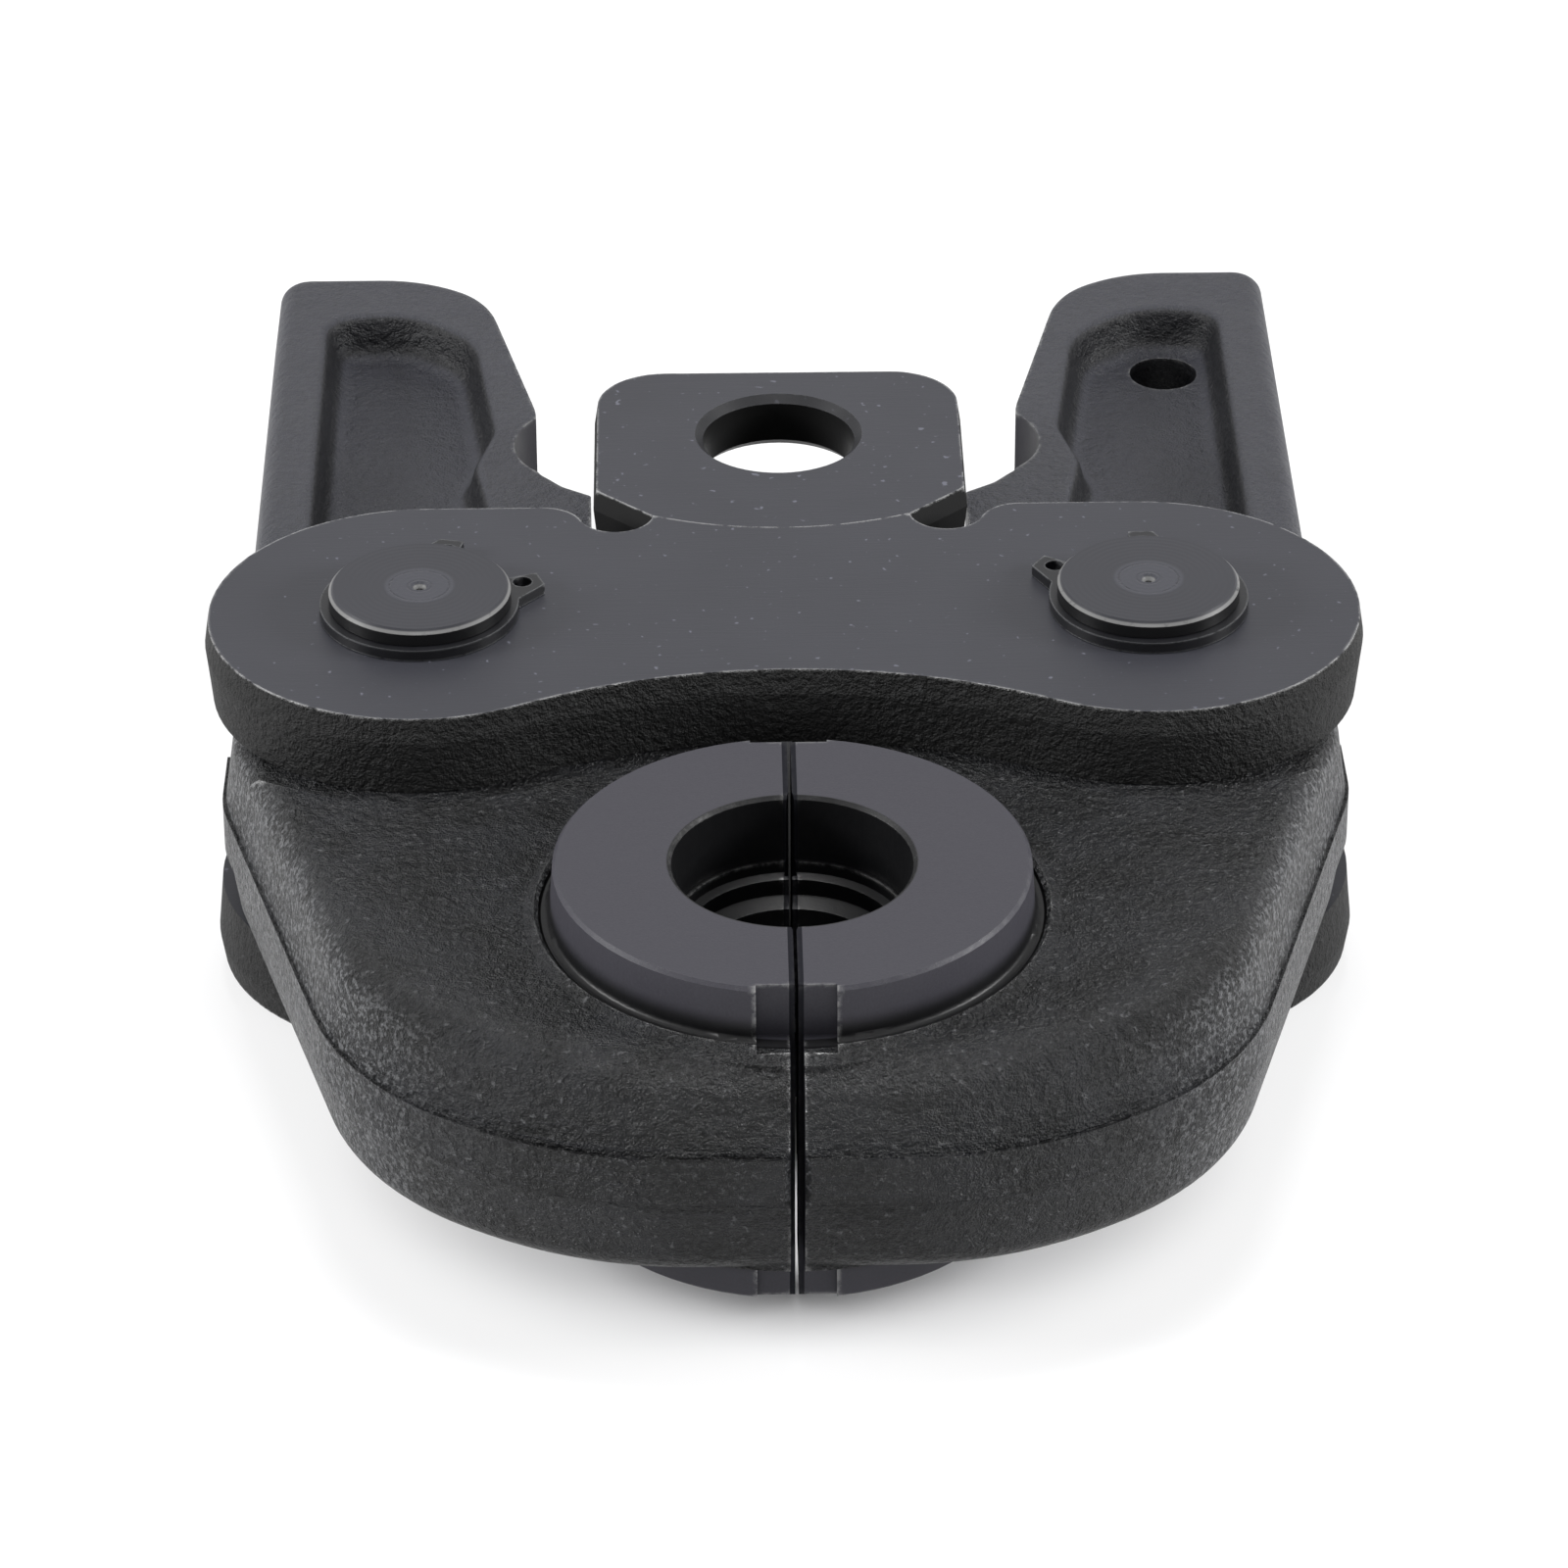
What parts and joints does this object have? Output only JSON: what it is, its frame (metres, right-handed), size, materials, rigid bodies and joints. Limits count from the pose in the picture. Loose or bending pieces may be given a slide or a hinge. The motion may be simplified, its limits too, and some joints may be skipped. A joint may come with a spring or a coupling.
{
  "type": "pipe pressing jaw",
  "caption": "Forged pressing jaw for pipe fittings: two hinged jaw halves with a round pressing die, held on pivot pins between two bearing plates with a bore for the tool's pin.",
  "frame": {"origin": "centre of the tool pin's bore, half way between the two bearing plates", "axes": "+Y from the die to the tool's side along the middle, +X towards the jaw with the drilled tail, +Z along the pivot pins through the upper plate"},
  "size_m": [0.102, 0.1457, 0.039],
  "materials": {
    "forged_steel": "black phosphated forging with a fine rough grain",
    "plate_steel": "black phosphated, smooth faces and rough forged edges",
    "pin_steel": "turned and blackened",
    "spring_steel": "blackened spring steel"
  },
  "bodies": {
    "plates": {"upper_bearing_plate": "plate_steel", "lower_bearing_plate": "plate_steel", "left_pivot_pin": "pin_steel", "right_pivot_pin": "pin_steel", "upper_left_circlip": "spring_steel", "upper_right_circlip": "spring_steel", "lower_left_circlip": "spring_steel", "lower_right_circlip": "spring_steel", "closing_spring": "spring_steel"},
    "left": {"left_jaw": "forged_steel"},
    "right": {"right_jaw": "forged_steel"}
  },
  "joints": [
    {"name": "left_jaw_hinge", "type": "hinge", "parent": "plates", "child": "left", "pos_m": [-0.032, -0.0332, 0], "axis": [0, 0, -1], "range_deg": [0, 14], "stiffness_Nm_per_rad": 0.5, "springref_deg": -20.05},
    {"name": "right_jaw_hinge", "type": "hinge", "parent": "plates", "child": "right", "pos_m": [0.032, -0.0332, 0], "axis": [0, 0, 1], "range_deg": [0, 14], "stiffness_Nm_per_rad": 0.5, "springref_deg": -20.05, "deforming": ["closing_spring"]}
  ]
}
